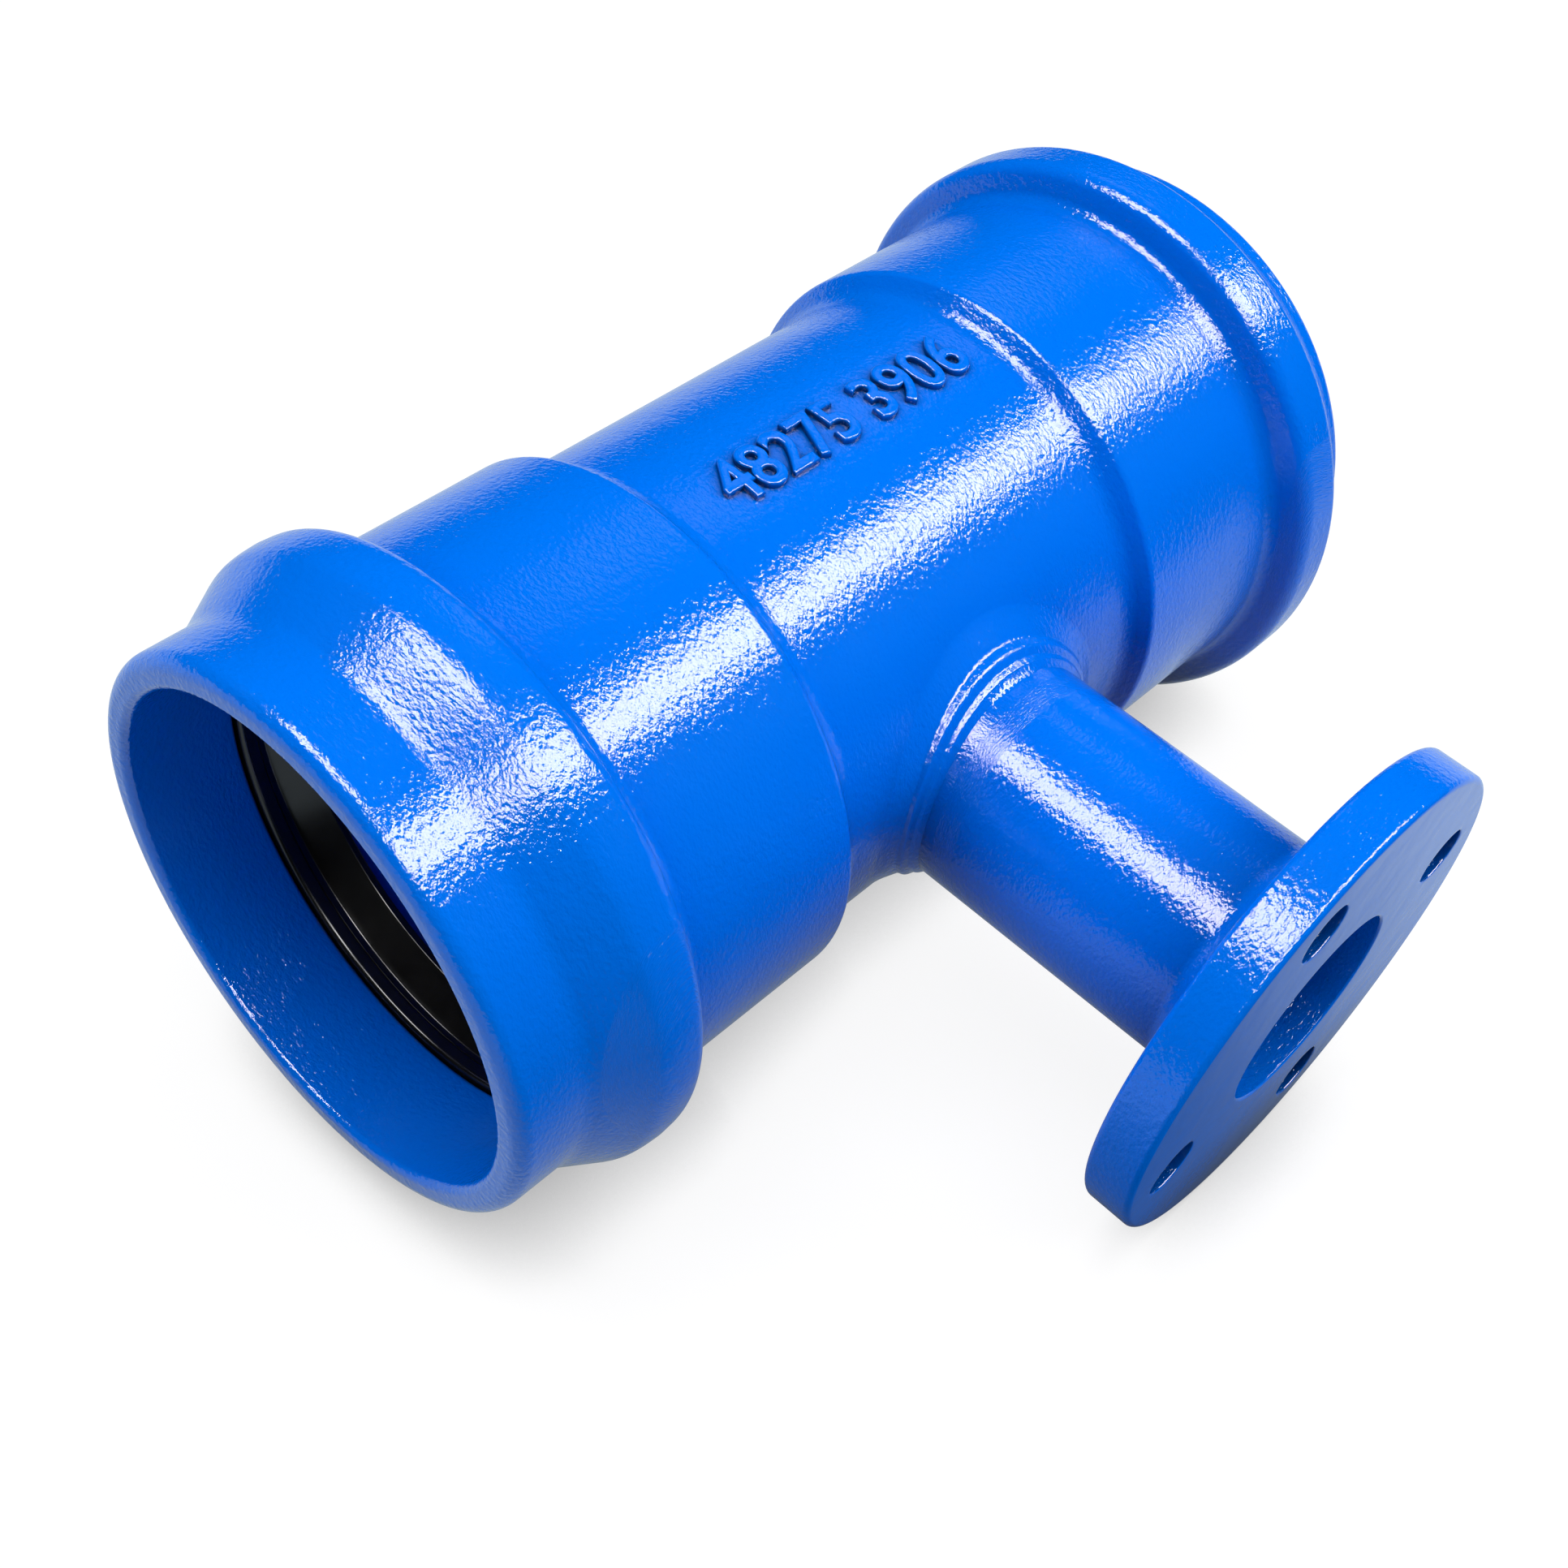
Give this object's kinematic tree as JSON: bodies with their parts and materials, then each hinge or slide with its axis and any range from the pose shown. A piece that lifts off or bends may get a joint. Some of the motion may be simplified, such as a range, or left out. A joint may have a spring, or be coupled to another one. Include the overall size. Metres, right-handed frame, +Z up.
{
  "type": "double socket tee",
  "caption": "Cast iron pipe tee with a rubber-sealed push-fit socket at each end of the run and a short branch that ends in a drilled flat flange.",
  "frame": {"origin": "on the ground, under the middle of the whole part's box, as the tee rests on its two seal housings and on the flange's rim", "axes": "+Y along the run from the front socket to the back one, +X towards the flange, with the branch dipping 5.96 degrees below it, and +Z up"},
  "size_m": [0.3194, 0.383, 0.207],
  "materials": {
    "epoxy_casting": "ductile iron under a bright blue fusion-bonded epoxy coat, glossy, with the slight orange-peel ripple of the casting and the coat",
    "seal_rubber": "black moulded rubber, smooth, with a soft sheen from its lubricant"
  },
  "bodies": {
    "root": {"tee_body": "epoxy_casting", "front_seal": "seal_rubber", "back_seal": "seal_rubber"}
  },
  "joints": []
}
